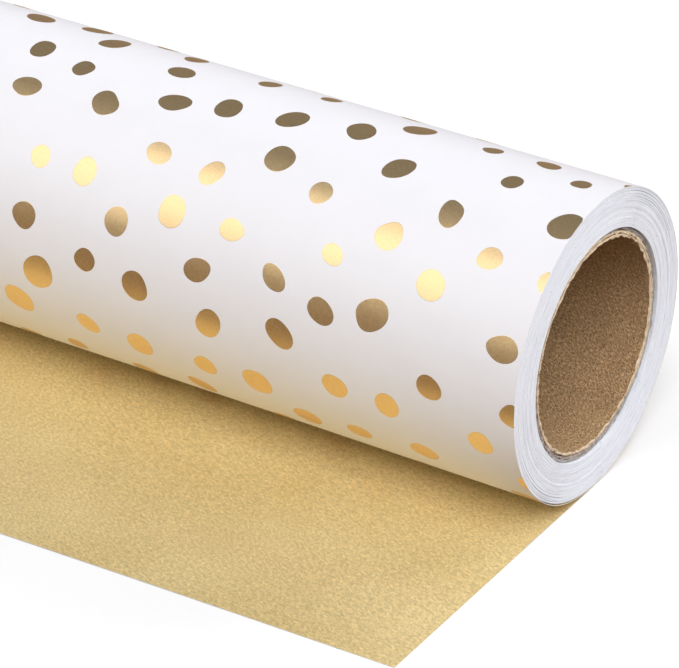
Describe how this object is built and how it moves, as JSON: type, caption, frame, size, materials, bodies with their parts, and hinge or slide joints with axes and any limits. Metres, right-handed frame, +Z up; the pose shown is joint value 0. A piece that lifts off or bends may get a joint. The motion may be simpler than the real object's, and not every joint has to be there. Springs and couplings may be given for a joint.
{
  "type": "wrapping paper roll",
  "caption": "Roll of white gift wrap with foil dots and a gold back, wound on a paperboard core, its free end laid flat in front and re-rolled or let out as the roll travels.",
  "frame": {"origin": "centre of the core's bore, half way along the roll", "axes": "+X along the roll's axis, +Z up from the table, -Y towards the cut edge of the laid-out sheet"},
  "size_m": [0.7631, 0.1117, 0.0564],
  "materials": {
    "kraft_liner": "matt unbleached kraft, coarse fibres",
    "kraft_board": "matt grey-brown paperboard",
    "glue": "dried paper glue",
    "paper_edge": "cut edges of many turns of white paper",
    "printed_white": "smooth white paper, satin, with metallic gold foil dots",
    "gold_back": "satin metallic gold, finely grained",
    "foil_dot": "hot-stamped gold foil"
  },
  "bodies": {
    "laid_out_sheet": {"unrolled_sheet": "gold_back"},
    "contact_line": {"lead_out_strip": "gold_back"},
    "roll": {"core_inner_ply": "kraft_liner", "core_middle_ply": "kraft_board", "core_outer_ply": "kraft_board", "start_glue_beads": "glue", "wound_paper": "paper_edge", "outer_turn": "printed_white"}
  },
  "joints": [
    {"name": "roll_travel", "type": "slide", "parent": "laid_out_sheet", "child": "contact_line", "axis": [0, 1, 0], "range_m": [-0.036, 0.1776], "deforming": ["unrolled_sheet"]},
    {"name": "roll_turn", "type": "hinge", "parent": "contact_line", "child": "roll", "pos_m": [0, 0, 0], "axis": [-1, 0, 0], "range_deg": [-80, 365]}
  ],
  "couplings": [
    {"joint": "roll_turn", "follows": "roll_travel", "rad_per_m": 35.368}
  ]
}
